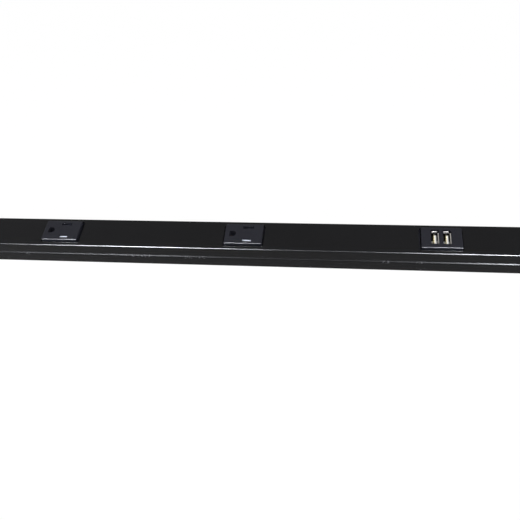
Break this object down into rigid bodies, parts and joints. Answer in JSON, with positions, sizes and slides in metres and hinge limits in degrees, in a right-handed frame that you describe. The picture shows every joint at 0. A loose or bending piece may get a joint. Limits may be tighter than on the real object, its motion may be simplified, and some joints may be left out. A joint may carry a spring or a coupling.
{
  "type": "surface raceway power strip",
  "caption": "Slim steel surface raceway power strip with grounding receptacles and a USB charging module on its face, clip-fit cover, end caps and spring-loaded safety shutters.",
  "frame": {"origin": "middle of the raceway's back, on the surface that it is mounted to", "axes": "+X along the strip from the first receptacle to the USB module, +Z out of its face, +Y across it towards the neutral slots"},
  "size_m": [0.4572, 0.0286, 0.0245],
  "materials": {
    "black_paint": "satin",
    "plate_plastic": "satin",
    "black_plastic": "matte",
    "shutter_plastic": "satin",
    "white_plastic": "satin",
    "contact_brass": "satin",
    "gold_plating": "polished",
    "nickel_plating": "polished",
    "spring_steel": "satin",
    "zinc_plating": "satin",
    "green_screw": "gloss",
    "black_insulation": "satin",
    "white_insulation": "satin",
    "green_insulation": "satin",
    "board_green": "satin",
    "ferrite": "matte",
    "capacitor_sleeve": "gloss"
  },
  "bodies": {
    "strip": {"raceway_base": "black_paint", "raceway_cover": "black_paint", "end_cap_left": "black_paint", "end_cap_right": "black_paint", "end_cap_screw_left": "zinc_plating", "end_cap_screw_right": "zinc_plating", "ground_terminal": "zinc_plating", "ground_screw": "green_screw", "line_wire": "black_insulation", "neutral_wire": "white_insulation", "ground_wire": "green_insulation", "wire_clip_1": "spring_steel", "wire_clip_2": "spring_steel", "wire_clip_3": "spring_steel", "receptacle_1_face": "plate_plastic", "receptacle_1_contact_cover": "black_plastic", "receptacle_1_housing": "black_plastic", "receptacle_1_line_contact": "contact_brass", "receptacle_1_neutral_contact": "contact_brass", "receptacle_1_ground_contact": "contact_brass", "receptacle_1_shutter_spring": "spring_steel", "receptacle_2_face": "plate_plastic", "receptacle_2_contact_cover": "black_plastic", "receptacle_2_housing": "black_plastic", "receptacle_2_line_contact": "contact_brass", "receptacle_2_neutral_contact": "contact_brass", "receptacle_2_ground_contact": "contact_brass", "receptacle_2_shutter_spring": "spring_steel", "usb_face": "plate_plastic", "usb_housing": "black_plastic", "usb_circuit_board": "board_green", "usb_line_tap": "contact_brass", "usb_neutral_tap": "contact_brass", "usb_port_1_shell": "nickel_plating", "usb_port_1_insert": "white_plastic", "usb_port_1_contact_1": "gold_plating", "usb_port_1_contact_2": "gold_plating", "usb_port_1_contact_3": "gold_plating", "usb_port_1_contact_4": "gold_plating", "usb_port_2_shell": "nickel_plating", "usb_port_2_insert": "white_plastic", "usb_port_2_contact_1": "gold_plating", "usb_port_2_contact_2": "gold_plating", "usb_port_2_contact_3": "gold_plating", "usb_port_2_contact_4": "gold_plating", "usb_transformer": "ferrite", "usb_filter_choke": "ferrite", "usb_input_capacitor": "capacitor_sleeve", "usb_output_capacitor": "capacitor_sleeve"},
    "line_shutter_1": {"receptacle_1_line_shutter": "shutter_plastic"},
    "neutral_shutter_1": {"receptacle_1_neutral_shutter": "shutter_plastic"},
    "line_shutter_2": {"receptacle_2_line_shutter": "shutter_plastic"},
    "neutral_shutter_2": {"receptacle_2_neutral_shutter": "shutter_plastic"}
  },
  "joints": [
    {"name": "line_shutter_slide_1", "type": "slide", "parent": "strip", "child": "line_shutter_1", "axis": [0, 1, 0], "range_m": [0, 0.0029], "stiffness_N_per_m": 200, "springref_m": -0.003, "deforming": ["receptacle_1_shutter_spring"]},
    {"name": "neutral_shutter_slide_1", "type": "slide", "parent": "strip", "child": "neutral_shutter_1", "axis": [0, -1, 0], "range_m": [0, 0.0029], "stiffness_N_per_m": 200, "springref_m": -0.003},
    {"name": "line_shutter_slide_2", "type": "slide", "parent": "strip", "child": "line_shutter_2", "axis": [0, 1, 0], "range_m": [0, 0.0029], "stiffness_N_per_m": 200, "springref_m": -0.003, "deforming": ["receptacle_2_shutter_spring"]},
    {"name": "neutral_shutter_slide_2", "type": "slide", "parent": "strip", "child": "neutral_shutter_2", "axis": [0, -1, 0], "range_m": [0, 0.0029], "stiffness_N_per_m": 200, "springref_m": -0.003}
  ]
}
